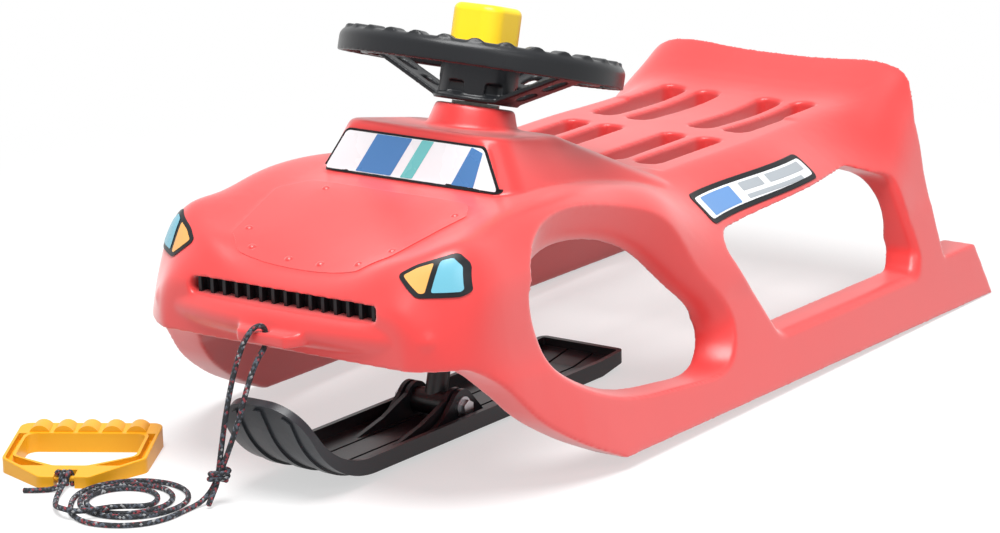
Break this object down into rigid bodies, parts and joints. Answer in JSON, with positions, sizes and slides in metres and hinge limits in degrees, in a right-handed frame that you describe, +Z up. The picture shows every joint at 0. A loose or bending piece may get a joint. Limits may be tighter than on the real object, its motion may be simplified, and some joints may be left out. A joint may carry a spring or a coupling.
{
  "type": "steering_sled",
  "caption": "Child's moulded plastic steering sled shaped like a small car, with a steering wheel turning a front ski, a horn button, a slotted seat and a tow cord with a handle.",
  "frame": {"origin": "on the ground, midway between ski tip and runner tails, on the centre plane", "axes": "+Z up, front of the sled faces -Y, +X is the rider's left side"},
  "size_m": [0.4735, 0.9254, 0.3465],
  "materials": {
    "red_plastic": "satin moulded polyethylene",
    "black_plastic": "satin moulded plastic",
    "yellow_plastic": "satin moulded plastic",
    "orange_plastic": "satin moulded plastic",
    "screen_film": "printed film",
    "lamp_film": "printed film",
    "label_film": "printed film",
    "black_rubber": "matt",
    "black_steel": "powder coat",
    "zinc_steel": "zinc plated",
    "bush_plastic": "natural acetal",
    "cord_fabric": "braided, flecked"
  },
  "bodies": {
    "sled_body": {"body_shell": "red_plastic", "windscreen_panel": "screen_film", "left_headlight": "lamp_film", "right_headlight": "lamp_film", "side_label": "label_film", "intake_grille": "black_plastic", "upper_column_bush": "bush_plastic", "lower_column_bush": "bush_plastic", "tow_cord": "cord_fabric", "tow_cord_loop": "cord_fabric", "tow_knot": "cord_fabric", "tow_knot_tail": "cord_fabric", "handle_knot": "cord_fabric", "handle_knot_tail": "cord_fabric", "tow_handle": "orange_plastic"},
    "steering": {"steering_wheel": "black_plastic", "steering_column": "black_steel", "wheel_screw": "zinc_steel", "wheel_washer": "zinc_steel", "horn_squeaker": "black_rubber", "retaining_pin": "zinc_steel", "thrust_washer": "bush_plastic"},
    "ski": {"front_ski": "black_plastic", "pivot_bolt": "zinc_steel", "pivot_nut": "zinc_steel", "bolt_washers": "zinc_steel"},
    "horn": {"horn_button": "yellow_plastic"}
  },
  "joints": [
    {"name": "steer", "type": "hinge", "parent": "sled_body", "child": "steering", "pos_m": [0, -0.09234, 0.2998], "axis": [0, 0.284, 0.9588], "range_deg": [-25, 25]},
    {"name": "ski_pitch", "type": "hinge", "parent": "steering", "child": "ski", "pos_m": [0, -0.17458, 0.02219], "axis": [1, 0, 0], "range_deg": [-8, 8]},
    {"name": "horn_press", "type": "slide", "parent": "steering", "child": "horn", "axis": [0, -0.284, -0.9588], "range_m": [0, 0.004], "stiffness_N_per_m": 900}
  ]
}
